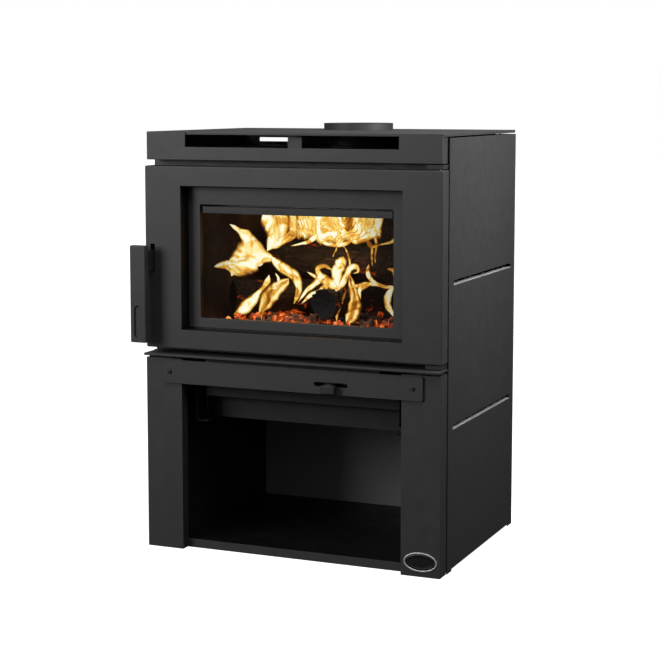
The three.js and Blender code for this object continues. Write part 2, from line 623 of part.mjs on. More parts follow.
function addAshDrawer() {
  const d = drawer;
  const tipRound = new THREE.Shape();
  tipRound.moveTo(d.lipFront + 2, d.rim);
  tipRound.lineTo(d.lipFront + 2, d.lipBottom - 28);
  tipRound.absarc(d.lipFront + 12, d.lipBottom - 28, 10, Math.PI, 1.5 * Math.PI);
  tipRound.lineTo(d.frontY, d.lipBottom - 38);
  tipRound.lineTo(d.frontY, d.bottom);
  tipRound.lineTo(d.rear, d.bottom);
  tipRound.lineTo(d.rear, d.rim);
  const wall = extrudeX(tipRound, -d.wallX, -d.wallX + d.sheet);
  const pan = join(
    wall, mirrorX(wall),
    box([-d.wallX, d.frontY, d.bottom], [d.wallX, d.rear, d.bottom + d.sheet]),
    box([-d.wallX, d.frontY, d.bottom], [d.wallX, d.frontY + d.sheet, d.rim]),
    box([-d.wallX, d.rear - d.sheet, d.bottom], [d.wallX, d.rear, d.rim]),
  );
  piece('ash_drawer', pan, darkPaint);
  piece('ash_drawer_lip', box(
    [-d.lipHalfWidth, d.lipFront, d.lipBottom], [d.lipHalfWidth, d.lipFront + d.sheet, d.lipTop]), paint);

  const railPart = join(
    box([-rail.x - THIN, rail.front, rail.bottom], [-rail.x, rail.rear, ledge.bottom - GAP]),
    box([-rail.x - THIN, rail.front, rail.bottom], [-rail.x + rail.flange, rail.rear, rail.bottom + THIN]),
  );
  pair('drawer_rail', railPart, darkPaint);
}

/** Blank oval plate on the foot of the right pillar. */
function addBadge() {
  const outline = new THREE.Shape();
  outline.absellipse(badge.x, badge.z, badge.halfWidth, badge.halfHeight, 0, 2 * Math.PI);
  piece('badge_plate', extrudeY(outline, body.front - 2, body.front - GAP, 12), plainSteel);
}

addBase();
addPillars();
addSidePanels();
addWoodStore();
addBackPanel();
addFirebox();
addFirebricks();
addFire();
addTop();
addHood();
addDoor();
addHinges();
addHandle();
addAirControl();
addAshDrawer();
addBadge();

export default stove;
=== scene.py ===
"""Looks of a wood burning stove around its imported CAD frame: paint, steel, brick, rope, glass and fire.

Metres, +Z up, front of the stove at -Y, origin on the floor.
"""
import math
import random

import bmesh
import bpy
from mathutils import Euler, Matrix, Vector, noise


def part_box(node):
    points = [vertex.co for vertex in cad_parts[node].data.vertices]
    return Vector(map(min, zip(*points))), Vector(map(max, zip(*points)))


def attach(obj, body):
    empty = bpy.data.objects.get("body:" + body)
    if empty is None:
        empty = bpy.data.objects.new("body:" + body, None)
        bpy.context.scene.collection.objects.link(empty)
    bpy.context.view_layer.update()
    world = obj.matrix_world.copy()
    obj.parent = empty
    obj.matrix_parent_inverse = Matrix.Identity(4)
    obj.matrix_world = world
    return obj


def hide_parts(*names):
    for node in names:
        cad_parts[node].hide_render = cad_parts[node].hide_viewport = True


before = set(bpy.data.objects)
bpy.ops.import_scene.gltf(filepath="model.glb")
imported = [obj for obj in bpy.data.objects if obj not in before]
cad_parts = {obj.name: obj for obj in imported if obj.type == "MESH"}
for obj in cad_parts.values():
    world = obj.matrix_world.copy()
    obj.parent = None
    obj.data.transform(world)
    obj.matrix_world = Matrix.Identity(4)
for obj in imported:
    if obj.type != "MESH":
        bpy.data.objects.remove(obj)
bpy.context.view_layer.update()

BODY = "stove_body"
MM = 0.001

# The camera: its place, its heading to the left of +Y, its fall below the horizon, its lens and its shift.
CAMERA = {
    "place": Vector((1.416, -3.353, 0.970)), "heading": 23.04, "fall": 6.13, "lens": 90.46, "shift_y": -0.08,
}
FLOW_STEP = 2.0  # each flame's coordinate across it starts this much further on, so that no two are alike
EDGE_ANGLE = math.radians(28)  # edges sharper than this are rounded off
CREASE_ANGLE = math.radians(40)  # and edges still sharper than this afterwards are shaded as creases


# ---------------------------------------------------------------- shader trees

class Shader:
    """A material's node tree, built from the surface's own coordinates, or the world's."""

    def __init__(self, name, uv=None, world=False):
        self.material = bpy.data.worlds.new(name) if world else bpy.data.materials.new(name)
        self.material.use_nodes = True
        self.tree = self.material.node_tree
        self.tree.nodes.clear()
        self.output = self.tree.nodes.new("ShaderNodeOutputWorld" if world else "ShaderNodeOutputMaterial")
        self.place = self.node("ShaderNodeTexCoord").outputs["Generated" if world else "Object"]
        if uv:
            self.uv = self.node("ShaderNodeUVMap", {"uv_map": uv}).outputs["UV"]

    def node(self, kind, settings=None, inputs=None):
        """Adds a node; an input is a number, a vector, a colour or another node's output."""
        made = self.tree.nodes.new(kind)
        for name, value in (settings or {}).items():
            setattr(made, name, value)
        for name, value in (inputs or {}).items():
            socket = made.inputs[name]
            if isinstance(value, bpy.types.NodeSocket):
                self.tree.links.new(value, socket)
            elif socket.type == "RGBA" and len(value) == 3:
                socket.default_value = (*value, 1.0)
            else:
                socket.default_value = value
        return made

    def stretched(self, x, y, z, place=None):
        """The coordinates scaled by a factor along each axis."""
        node = self.node("ShaderNodeMapping", None, {"Vector": place or self.place, "Scale": (x, y, z)})
        return node.outputs["Vector"]

    def noise(self, scale, detail=3.0, roughness=0.5, distortion=0.0, place=None):
        """Soft noise from 0 to 1, most of it between 0.3 and 0.7."""
        node = self.node("ShaderNodeTexNoise", None, {
            "Vector": place or self.place, "Scale": scale, "Detail": detail, "Roughness": roughness,
            "Distortion": distortion})
        return node.outputs["Fac"]

    def cells(self, scale, feature="F1", randomness=1.0, place=None):
        """Distances in a Voronoi pattern of stones, stitches or blocks."""
        node = self.node("ShaderNodeTexVoronoi", {"feature": feature}, {
            "Vector": place or self.place, "Scale": scale, "Randomness": randomness})
        return node.outputs["Distance"]

    def ramp(self, factor, *stops):
        """Colours along a factor, as (position, colour) with a colour of three numbers or one grey."""
        node = self.node("ShaderNodeValToRGB", None, {"Fac": factor})
        elements = node.color_ramp.elements
        while len(elements) < len(stops):
            elements.new(1.0)
        for element, (position, colour) in zip(elements, stops):
            element.position = position
            colour = (colour,) * 3 if isinstance(colour, (int, float)) else colour
            element.color = (*colour, 1.0)
        return node.outputs["Color"]

    def math(self, operation, a, b=0.0, clamp=False):
        """A sum, product or comparison of two values, kept between 0 and 1 where clamp is set."""
        node = self.node("ShaderNodeMath", {"operation": operation, "use_clamp": clamp})
        for socket, value in zip(node.inputs, (a, b)):
            if isinstance(value, bpy.types.NodeSocket):
                self.tree.links.new(value, socket)
            else:
                socket.default_value = value
        return node.outputs[0]

    def span(self, value, low, high, to_low=0.0, to_high=1.0):
        """value from low to high, carried to the range from to_low to to_high."""
        node = self.node("ShaderNodeMapRange", None, {
            "Value": value, "From Min": low, "From Max": high, "To Min": to_low, "To Max": to_high})
        return node.outputs["Result"]

    def mix(self, factor, a, b):
        """Colour a where factor is 0, colour b where it is 1."""
        node = self.node("ShaderNodeMix", {"data_type": "RGBA"})
        factor_input, first_colour, second_colour, colour_output = 0, 6, 7, 2
        self.tree.links.new(factor, node.inputs[factor_input])
        for index, value in ((first_colour, a), (second_colour, b)):
            socket = node.inputs[index]
            if isinstance(value, bpy.types.NodeSocket):
                self.tree.links.new(value, socket)
            else:
                socket.default_value = (*value, 1.0)
        return node.outputs[colour_output]

    def bump(self, height, strength, distance, under=None):
        """Relief of a height map, over another relief where one is given."""
        inputs = {"Height": height, "Strength": strength, "Distance": distance}
        if under is not None:
            inputs["Normal"] = under
        return self.node("ShaderNodeBump", None, inputs).outputs["Normal"]

    def parts(self, vector):
        """The X, Y and Z outputs of a vector."""
        split = self.node("ShaderNodeSeparateXYZ", None, {"Vector": vector})
        return split.outputs["X"], split.outputs["Y"], split.outputs["Z"]

    def from_middle(self, along):
        """0 in the middle of a run from 0 to 1, and 1 at both of its ends."""
        return self.math("ABSOLUTE", self.span(along, 0.0, 1.0, -1.0, 1.0))

    def facing_up(self):
        """1 where the surface faces up, 0 where it is upright or faces down."""
        _, _, up = self.parts(self.node("ShaderNodeNewGeometry").outputs["Normal"])
        return self.math("MAXIMUM", up, 0.0)

    def principled(self, **sockets):
        """Finishes the material with a Principled shader; socket names have _ for a space."""
        inputs = {}
        for name, value in sockets.items():
            inputs[name.replace("_", " ")] = value
        shader = self.node("ShaderNodeBsdfPrincipled", None, inputs)
        self.tree.links.new(shader.outputs["BSDF"], self.output.inputs["Surface"])
        return self.material


def grey(value):
    """A colour with the same red, green and blue."""
    return (value, value, value)


# ---------------------------------------------------------------- materials

def inside(s, low, high):
    """1 inside the box from low to high, 0 outside it; None leaves a side open."""
    mask = None
    for place, least, most in zip(s.parts(s.place), low, high):
        for limit, operation in ((least, "GREATER_THAN"), (most, "LESS_THAN")):
            if limit is not None:
                side = s.math(operation, place, limit)
                mask = side if mask is None else s.math("MULTIPLY", mask, side)
    return mask


def painted_steel(name, shade, roughness, zone=None):
    """Stove paint baked on steel: a satin coat with a fine grain, faint clouds and a little dust on top.

    zone, where given, is a function that masks a part of the surface, and the grey of the paint in it:
    painted shade where that grey is darker than the coat, painted light where it is lighter.
    """
    s = Shader(name)
    clouds = s.noise(7.0, 5.0, 0.6)
    patches = s.noise(38.0, 4.0, 0.55)
    grain = s.noise(1500.0, 2.0, 0.7)
    pebble = s.noise(520.0, 3.0, 0.6)
    coat = s.mix(clouds, grey(shade * 0.88), (shade * 1.13, shade * 1.12, shade * 1.12))
    coat = s.mix(s.span(patches, 0.35, 0.75, 0.0, 0.22), coat, grey(shade * 1.35))
    coat = s.mix(s.span(grain, 0.58, 0.78, 0.0, 0.40), coat, grey(shade * 2.0))
    coat = s.mix(s.span(grain, 0.40, 0.22, 0.0, 0.4), coat, grey(shade * 0.4))
    dust = s.math("MULTIPLY", s.facing_up(), s.span(s.noise(22.0, 6.0, 0.7), 0.45, 0.8, 0.0, 0.12))
    coat = s.mix(dust, coat, grey(0.12))
    if zone:
        # The zone's grey is painted over the coat as painted shade or painted light.
        make_mask, zone_shade = zone
        coat = s.mix(make_mask(s), coat, s.mix(clouds, grey(zone_shade * 0.8), grey(zone_shade * 1.2)))
    rough = s.span(patches, 0.3, 0.7, roughness - 0.04, roughness + 0.05)
    rough = s.math("ADD", rough, s.math("MULTIPLY", dust, 0.8))
    relief = s.bump(pebble, 0.10, 0.0006)
    relief = s.bump(grain, 0.05, 0.0003, relief)
    return s.principled(Base_Color=coat, Roughness=rough, Normal=relief, Specular_IOR_Level=0.5)


def recess_painted_shade(s):
    """The walls of the door's recess, painted near black as the shade that falls in it."""
    low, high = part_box("door_inner_frame")
    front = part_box("door_shell")[0].y + 2.2 * MM
    return inside(s, (low.x, front, low.z), (high.x, None, high.z))


def groove_painted_shade(s):
    """The groove round the inner frame's face, painted near black as the shade in it."""
    face_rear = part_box("door_inner_frame")[0].y + 0.8 * MM
    return inside(s, (None, face_rear, None), (None, None, None))


def store_floor_painted_shade(s):
    """The wood store's floor behind its front lip, painted near black as the shade inside the store."""
    lip_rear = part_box("store_floor")[0].y + 1.5 * MM
    return inside(s, (None, lip_rear, None), (None, None, None))


def store_back_painted_light(s):
    """The face of the back panel that closes the wood store, painted lighter as the light that reaches it.
    """
    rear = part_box("back_panel")[0].y + 1.0 * MM
    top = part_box("hearth_ledge")[0].z
    return inside(s, (None, None, None), (None, rear, top))


def brushed_steel(name, shade, roughness, paleness=0.0):
    """Bare steel: fine brushing along X and Y, with dull spots.

    paleness keeps it light where it has only dark things to reflect.
    """
    s = Shader(name)
    lines = s.noise(900.0, 3.0, 0.6, place=s.stretched(0.04, 0.04, 1.0))
    spots = s.noise(60.0, 5.0, 0.6)
    metal = s.mix(lines, grey(shade * 0.82), grey(min(1.0, shade * 1.12)))
    metal = s.mix(s.span(spots, 0.5, 0.8, 0.0, 0.35), metal, (shade * 0.6, shade * 0.57, shade * 0.53))
    rough = s.span(lines, 0.3, 0.7, roughness - 0.06, roughness + 0.1)
    relief = s.bump(lines, 0.08, 0.0002)
    return s.principled(Base_Color=metal, Metallic=1.0 - paleness, Roughness=rough, Normal=relief)


def firebrick():
    """Sand coloured refractory with grog grains and pits, heavily sooted in broad patches."""
    s = Shader("firebrick")
    grains = s.cells(260.0)
    clouds = s.noise(11.0, 6.0, 0.6)
    pits = s.noise(170.0, 5.0, 0.7)
    clay = s.mix(clouds, (0.30, 0.215, 0.14), (0.42, 0.33, 0.23))
    clay = s.mix(s.span(grains, 0.0, 0.35, 0.5, 0.0), clay, (0.52, 0.43, 0.32))
    soot = s.span(s.noise(6.0, 6.0, 0.65, 0.4), 0.28, 0.60, 0.45, 0.96)
    clay = s.mix(soot, clay, (0.022, 0.019, 0.017))
    relief = s.bump(pits, 0.35, 0.0015)
    relief = s.bump(grains, 0.2, 0.0006, relief)
    return s.principled(Base_Color=clay, Roughness=s.span(pits, 0.3, 0.7, 0.88, 1.0), Normal=relief)


def rope_seal():
    """Knitted glass rope: interlocked stitches, grey with a little soot."""
    s = Shader("rope_seal")
    stitches = s.cells(420.0, "SMOOTH_F1", 0.35)
    soot = s.noise(45.0, 5.0, 0.6)
    fibre = s.mix(s.span(stitches, 0.1, 0.6), (0.33, 0.32, 0.30), (0.12, 0.115, 0.11))
    fibre = s.mix(s.span(soot, 0.45, 0.75, 0.0, 0.75), fibre, grey(0.04))
    relief = s.bump(stitches, 0.8, 0.0012)
    return s.principled(Base_Color=fibre, Roughness=s.span(soot, 0.3, 0.7, 0.85, 1.0), Normal=relief)


def ceramic_glass():
    """Stove glass: nearly clear, faintly brown, with a film of smoke towards its edges."""
    s = Shader("ceramic_glass")
    film = s.noise(9.0, 5.0, 0.6)
    low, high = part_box("window_glass")
    half = (high.x - low.x) / 2
    sideways, _, _ = s.parts(s.place)
    side = s.span(s.math("ABSOLUTE", sideways), half * 0.55, half, 0.0, 1.0)
    smoke = s.math("MULTIPLY", side, s.span(film, 0.3, 0.7, 0.2, 0.5))
    tint = s.mix(film, (0.010, 0.008, 0.007), (0.020, 0.015, 0.012))
    rough = s.span(film, 0.3, 0.7, 0.03, 0.07)
    return s.principled(Base_Color=tint, Roughness=rough, Alpha=s.math("ADD", smoke, 0.07, True), IOR=1.5)


def charred_wood():
    """A burning log: black char checked into blocks, ash on its ridges and embers deep in its cracks."""
    s = Shader("charred_wood", uv="bark")
    blocks = s.cells(1.0, "DISTANCE_TO_EDGE", 0.9, s.stretched(10.0, 6.0, 1.0, s.uv))
    ridges = s.noise(1.0, 6.0, 0.62, 0.3, s.stretched(26.0, 3.2, 1.0, s.uv))
    ash = s.noise(1.0, 5.0, 0.7, 0.2, s.stretched(5.0, 4.0, 1.0, s.uv))
    heat = s.noise(1.0, 4.0, 0.6, 0.4, s.stretched(3.4, 2.6, 1.0, s.uv))
    crack = s.span(blocks, 0.0, 0.07, 1.0, 0.0)
    wood = s.mix(ridges, (0.002, 0.002, 0.002), (0.020, 0.012, 0.008))
    wood = s.mix(s.span(ridges, 0.58, 0.72, 0.0, 0.5), wood, (0.12, 0.06, 0.028))
    wood = s.mix(s.span(ash, 0.62, 0.80, 0.0, 0.45), wood, (0.11, 0.09, 0.075))
    wood = s.mix(s.math("MULTIPLY", crack, 0.8), wood, grey(0.002))
    _, along, _ = s.parts(s.uv)
    end_face = s.math("GREATER_THAN", s.from_middle(along), 0.90)
    side_face = s.math("SUBTRACT", 1.0, end_face)
    wood = s.mix(end_face, wood, s.mix(s.noise(90.0, 4.0, 0.7), grey(0.001), grey(0.006)))
    crack = s.math("MULTIPLY", crack, side_face)
    glow = s.math("MULTIPLY", crack, s.span(heat, 0.56, 0.70), True)
    ember = s.ramp(
        glow, (0.0, 0.0), (0.3, (0.22, 0.02, 0.0)), (0.75, (0.80, 0.15, 0.02)), (1.0, (1.0, 0.42, 0.09)))
    furrows = s.math("SUBTRACT", ridges, s.math("MULTIPLY", crack, 1.4))
    relief = s.bump(s.math("MULTIPLY", furrows, side_face), 0.8, 0.004)
    return s.principled(
        Base_Color=wood, Roughness=s.span(ash, 0.3, 0.7, 0.75, 0.98), Normal=relief,
        Emission_Color=ember, Emission_Strength=1.3)


def embers():
    """Coals and burnt bark under grey ash, glowing most in a heap on the left and one in the middle."""
    s = Shader("embers")
    heat = s.noise(13.0, 5.0, 0.62, 0.5)
    coal = s.cells(58.0, "DISTANCE_TO_EDGE")
    fine = s.noise(230.0, 5.0, 0.7)
    skin = s.mix(fine, (0.010, 0.008, 0.007), (0.13, 0.085, 0.055))
    skin = s.mix(s.span(s.noise(34.0, 5.0, 0.7), 0.50, 0.68, 0.0, 0.75), skin, (0.30, 0.25, 0.20))
    left_heap = s.math("MULTIPLY", inside(s, (-0.24, None, None), (-0.13, -0.08, None)), 0.12)
    middle_heap = s.math("MULTIPLY", inside(s, (-0.11, None, None), (-0.02, -0.06, None)), 0.07)
    heat = s.math("ADD", heat, s.math("ADD", left_heap, middle_heap))
    hot = s.math("MULTIPLY", s.span(heat, 0.52, 0.68), s.span(coal, 0.34, 0.02, 0.35, 1.0), True)
    hot = s.math("MULTIPLY", hot, s.span(fine, 0.30, 0.56), True)
    bark = s.noise(1.0, 5.0, 0.7, 0.4, s.stretched(60.0, 90.0, 40.0))
    skin = s.mix(s.span(bark, 0.52, 0.66, 0.0, 0.8), skin, (0.22, 0.10, 0.045))
    light = s.ramp(
        hot, (0.0, 0.0), (0.2, (0.24, 0.025, 0.0)), (0.5, (0.80, 0.13, 0.02)), (0.9, (1.0, 0.42, 0.12)))
    relief = s.bump(coal, 0.5, 0.004)
    relief = s.bump(fine, 0.4, 0.0015, relief)
    return s.principled(
        Base_Color=skin, Roughness=s.span(fine, 0.3, 0.7, 0.8, 1.0), Normal=relief,
        Emission_Color=light, Emission_Strength=1.6)


def burning_gas(s, brightness, fringe, cover):
    """Finishes a fire's shader: dark fringe through amber to cream; cover is how much it hides."""
    light = s.ramp(
        brightness, (0.04, fringe), (0.22, (0.55, 0.19, 0.015)), (0.40, (0.86, 0.42, 0.06)),
        (0.56, (0.98, 0.66, 0.14)), (0.74, (1.0, 0.86, 0.34)), (0.94, (1.0, 0.98, 0.74)))
    return s.principled(
        Base_Color=grey(0.0), Roughness=1.0, Specular_IOR_Level=0.0, Emission_Color=light,
        Emission_Strength=1.15, Alpha=cover)


def flame(name, fringe, middle, rim, density):
    """A tongue of fire: soft edges and threads that run along it.

    middle is the brightness of its body, rim the extra near its edges, density how much its body hides.
    """
    s = Shader(name, uv="flow")
    across, _, _ = s.parts(s.uv)
    off_middle = s.from_middle(s.math("MODULO", across, FLOW_STEP))
    threads = s.noise(1.0, 3.0, 0.55, 0.8, s.stretched(2.6, 2.4, 1.0, s.uv))
    swirls = s.noise(1.0, 2.0, 0.5, 2.0, s.stretched(20.0, 12.0, 20.0))
    edge = s.span(off_middle, 1.0, 0.35)
    lines = s.math("MULTIPLY", s.span(off_middle, 0.25, 0.60), edge)
    bright = s.span(threads, 0.34, 0.62, middle * 0.5, middle)
    bright = s.math("ADD", bright, s.math("MULTIPLY", lines, rim))
    bright = s.math("MULTIPLY", bright, s.span(swirls, 0.40, 0.56, 0.42, 1.25))
    bright = s.math("MULTIPLY", bright, s.span(edge, 0.0, 1.0, 0.2, 1.05), True)
    cover = s.math("MULTIPLY", s.span(edge, 0.0, 0.75), s.span(bright, 0.0, 0.42), True)
    cover = s.math("MULTIPLY", cover, density)
    return burning_gas(s, bright, fringe, cover)


def fire_sheet():
    """The wall of fire behind the logs: cream swirls with amber folds and a ragged lower edge."""
    s = Shader("fire_sheet", uv="flow")
    across, along, _ = s.parts(s.uv)
    swirls = s.noise(1.0, 2.0, 0.5, 2.6, s.stretched(17.0, 20.0, 13.0))
    ragged = s.noise(1.0, 3.0, 0.5, 0.6, s.stretched(24.0, 20.0, 8.0))
    folds = s.math("ABSOLUTE", s.span(swirls, 0.30, 0.70, -1.0, 1.0))
    folds = s.span(folds, 0.0, 0.34, 0.34, 1.0)
    smoke = s.span(s.math("ABSOLUTE", s.math("SUBTRACT", across, 0.62)), 0.02, 0.11, 0.34, 1.0)
    smoke = s.math("MAXIMUM", smoke, s.span(along, 0.45, 0.20))
    lower = s.math("ADD", along, s.span(ragged, 0.3, 0.7, -0.16, 0.16))
    ends = s.math("MULTIPLY", s.span(across, 0.0, 0.05), s.span(across, 1.0, 0.95), True)
    shape = s.math("MULTIPLY", s.span(lower, 0.10, 0.26), ends, True)
    bright = s.math("MULTIPLY", s.span(swirls, 0.36, 0.56, 0.42, 1.2), folds)
    bright = s.math("MULTIPLY", s.math("MULTIPLY", bright, smoke), shape, True)
    cover = s.math("MULTIPLY", s.span(bright, 0.04, 0.42), shape, True)
    return burning_gas(s, bright, (0.30, 0.08, 0.004), cover)


def badge_enamel():
    """Black enamel with a fine pebble, as the field of a cast badge."""
    s = Shader("badge_enamel")
    pebble = s.noise(700.0, 3.0, 0.6)
    enamel = s.mix(pebble, grey(0.003), grey(0.010))
    rough = s.span(pebble, 0.3, 0.7, 0.3, 0.5)
    return s.principled(Base_Color=enamel, Roughness=rough, Normal=s.bump(pebble, 0.3, 0.0003))


def plain_floor():
    """Pale floor that shows white under the studio's light."""
    s = Shader("floor")
    tone = s.mix(s.noise(3.0), grey(0.80), grey(0.82))
    return s.principled(
        Base_Color=tone, Roughness=0.9, Specular_IOR_Level=0.0,
        Emission_Color=(1.0, 1.0, 1.0, 1.0), Emission_Strength=1.0)


# The material of each slot in the record, except the flames', which are made with them.
MATERIALS = {
    "casing_paint": painted_steel("casing_paint", 0.040, 0.46),
    "dark_paint": painted_steel("dark_paint", 0.020, 0.55),
    "bright_steel": brushed_steel("bright_steel", 0.85, 0.42, 0.35),
    "plain_steel": brushed_steel("plain_steel", 0.30, 0.36),
    "badge_metal": brushed_steel("badge_metal", 0.75, 0.34, 0.45),
    "firebrick": firebrick(),
    "rope_seal": rope_seal(),
    "ceramic_glass": ceramic_glass(),
    "charred_wood": charred_wood(),
    "embers": embers(),
}

# Nodes whose paint differs from their slot's: another shade, or a part with painted shade (the door's
# recess, the frame's groove, the store's floor) or painted light (the store's back face).
NODE_MATERIALS = {
    "airwash_bar": painted_steel("airwash_paint", 0.028, 0.5),
    "door_shell": painted_steel("door_paint", 0.040, 0.46, (recess_painted_shade, 0.006)),
    "door_inner_frame": painted_steel("door_frame_paint", 0.038, 0.46, (groove_painted_shade, 0.004)),
    "store_floor": painted_steel("store_floor_paint", 0.040, 0.5, (store_floor_painted_shade, 0.0012)),
    "back_panel": painted_steel("back_panel_paint", 0.040, 0.5, (store_back_painted_light, 0.17)),
    "handle_grip": painted_steel("grip_paint", 0.040, 0.42),
    # The ash drawer is painted near black as the shade that falls on it.
    "ash_drawer": painted_steel("drawer_painted_shade", 0.006, 0.6),
    "ash_drawer_lip": painted_steel("drawer_lip_paint", 0.010, 0.6),
    "air_box": painted_steel("air_box_paint", 0.012, 0.6),
    # The wood store's side walls are painted near black as the shade inside the store.
    "store_wall_left": painted_steel("store_wall_painted_shade", 0.006, 0.6),
    "flue_collar": painted_steel("collar_paint", 0.028, 0.55),
}
NODE_MATERIALS["store_wall_right"] = NODE_MATERIALS["store_wall_left"]


# ---------------------------------------------------------------- the carried-over CAD nodes

def mesh_group(name):
    """A modifier's node group with one mesh going in and one coming out."""
    group = bpy.data.node_groups.new(name, "GeometryNodeTree")
    for direction in ("INPUT", "OUTPUT"):
        group.interface.new_socket("Geometry", in_out=direction, socket_type="NodeSocketGeometry")
    start, end = group.nodes.new("NodeGroupInput"), group.nodes.new("NodeGroupOutput")
    return group, start.outputs[0], end.inputs[0]


def weld_group():
    """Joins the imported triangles' corners and drops their stored normals."""
    group, start, end = mesh_group("weld")
    merge = group.nodes.new("GeometryNodeMergeByDistance")
    merge.inputs["Distance"].default_value = 0.01 * MM
    drop = group.nodes.new("GeometryNodeRemoveAttribute")
    drop.inputs["Name"].default_value = "custom_normal"
    group.links.new(start, drop.inputs["Geometry"])
    group.links.new(drop.outputs["Geometry"], merge.inputs["Geometry"])
    group.links.new(merge.outputs["Geometry"], end)
    return group


def smooth_group():
    """Shades a mesh smooth, except over its sharp edges."""
    group, start, end = mesh_group("smooth")
    faces = group.nodes.new("GeometryNodeSetShadeSmooth")
    faces.domain = "FACE"
    faces.inputs["Shade Smooth"].default_value = True
    edges = group.nodes.new("GeometryNodeSetShadeSmooth")
    edges.domain = "EDGE"
    edges.inputs["Shade Smooth"].default_value = False
    angle = group.nodes.new("GeometryNodeInputMeshEdgeAngle")
    sharp = group.nodes.new("FunctionNodeCompare")
    sharp.data_type = "FLOAT"
    sharp.operation = "GREATER_THAN"
    sharp.inputs[1].default_value = CREASE_ANGLE
    group.links.new(angle.outputs["Unsigned Angle"], sharp.inputs[0])
    group.links.new(start, faces.inputs["Geometry"])
    group.links.new(faces.outputs["Geometry"], edges.inputs["Geometry"])
    group.links.new(sharp.outputs[0], edges.inputs["Selection"])
    group.links.new(edges.outputs["Geometry"], end)
    return group


WELD = weld_group()
SMOOTH = smooth_group()
# How far the edges of each slot's nodes are rounded, and of the nodes of any other slot.
SOFT_EDGES = {
    "firebrick": 2.2 * MM, "rope_seal": 0.6 * MM, "ceramic_glass": 0.8 * MM, "casing_paint": 1.1 * MM,
}
OTHER_EDGES = 0.5 * MM
# Sheets with so many slots that one face round all of them does not shade evenly.
SLOTTED_SHEETS = ("back_panel",)


def finish_cad_nodes():
    """Gives each CAD node its slot's material, rounded edges and smooth shading, by modifiers only."""
    for name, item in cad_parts.items():
        slot = item.data.materials[0].name.split(".")[0]
        item.data.materials[0] = NODE_MATERIALS.get(name, MATERIALS[slot])
        welded = item.modifiers.new("weld", "NODES")
        welded.node_group = WELD
        if name not in SLOTTED_SHEETS:
            flat = item.modifiers.new("flat_faces", "DECIMATE")
            flat.decimate_type = "DISSOLVE"
            flat.angle_limit = math.radians(0.6)
        bevel = item.modifiers.new("rounded_edges", "BEVEL")
        bevel.width = SOFT_EDGES.get(slot, OTHER_EDGES)
        bevel.segments = 3 if slot == "firebrick" else 2
        bevel.limit_method = "ANGLE"
        bevel.angle_limit = EDGE_ANGLE
        bevel.use_clamp_overlap = True
        smooth = item.modifiers.new("smooth", "NODES")
        smooth.node_group = SMOOTH
        weighted = item.modifiers.new("even_normals", "WEIGHTED_NORMAL")
        weighted.keep_sharp = True


# ---------------------------------------------------------------- new pieces

def add_piece(name, bm, slot, body=BODY, replaced=(), material=None):
    """Makes an object of a bmesh, with its slot's material or the one given, the body it rides on, and the
    nodes it stands for hidden.
    """
    mesh = bpy.data.meshes.new(name)
    bmesh.ops.recalc_face_normals(bm, faces=bm.faces)
    bm.to_mesh(mesh)
    bm.free()
    for polygon in mesh.polygons:
        polygon.use_smooth = True
    mesh.materials.append(material or MATERIALS[slot])
    item = bpy.data.objects.new(name, mesh)
    bpy.context.scene.collection.objects.link(item)
    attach(item, body)
    if replaced:
        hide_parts(*replaced)
    return item


def middle_of(node):
    """The centre of a CAD node's box."""
    low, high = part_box(node)
    return (low + high) / 2


def round_angles(count):
    """The angles of equal steps round a circle."""
    return [2 * math.pi * k / count for k in range(count)]


def fractal(point, octaves):
    """Noise about 0 at a point, of several sizes."""
    total, size, weight = 0.0, 1.0, 1.0
    for _ in range(octaves):
        total += weight * noise.noise(point * size)
        size *= 2.0
        weight *= 0.5
    return total


def tube_rings(bm, rings, uv_name=None):
    """Skins a list of rings of points, each with the same number of points, and closes both ends."""
    made = [[bm.verts.new(p) for p in ring] for ring in rings]
    layer = bm.loops.layers.uv.new(uv_name) if uv_name else None
    count = len(rings[0])
    for i in range(len(rings) - 1):
        for k in range(count):
            n = (k + 1) % count
            face = bm.faces.new((made[i][k], made[i][n], made[i + 1][n], made[i + 1][k]))
            if layer:
                corners = ((k, i), (k + 1, i), (k + 1, i + 1), (k, i + 1))
                for loop, (a, b) in zip(face.loops, corners):
                    loop[layer].uv = (a / count, b / (len(rings) - 1))
    for ring, order in ((made[0], -1), (made[-1], 1)):
        middle = bm.verts.new(sum((v.co for v in ring), Vector()) / count)
        for k in range(count):
            pair = (ring[k], ring[(k + 1) % count])
            face = bm.faces.new((*pair[::order], middle))
            if layer:
                for loop in face.loops:
                    local = loop.vert.co - middle.co
                    loop[layer].uv = (0.5 + local.y * 3.0 + local.x, 0.5 + local.z * 4.0)


# ---------------------------------------------------------------- the fire

LOGS = {
    # turn about Z, radius and length in metres, and a seed for the bark
    "log_1": (0.69, 0.038, 0.245, 3),
    "log_2": (1.36, 0.037, 0.230, 11),
    "log_3": (0.05, 0.041, 0.370, 23),
}


# The hollow end of a log, as rings from its middle outwards: metres in from the end, share of the radius.
LOG_END = [(0.012, 0.12), (0.010, 0.38), (0.006, 0.62), (0.003, 0.82), (0.001, 0.94)]


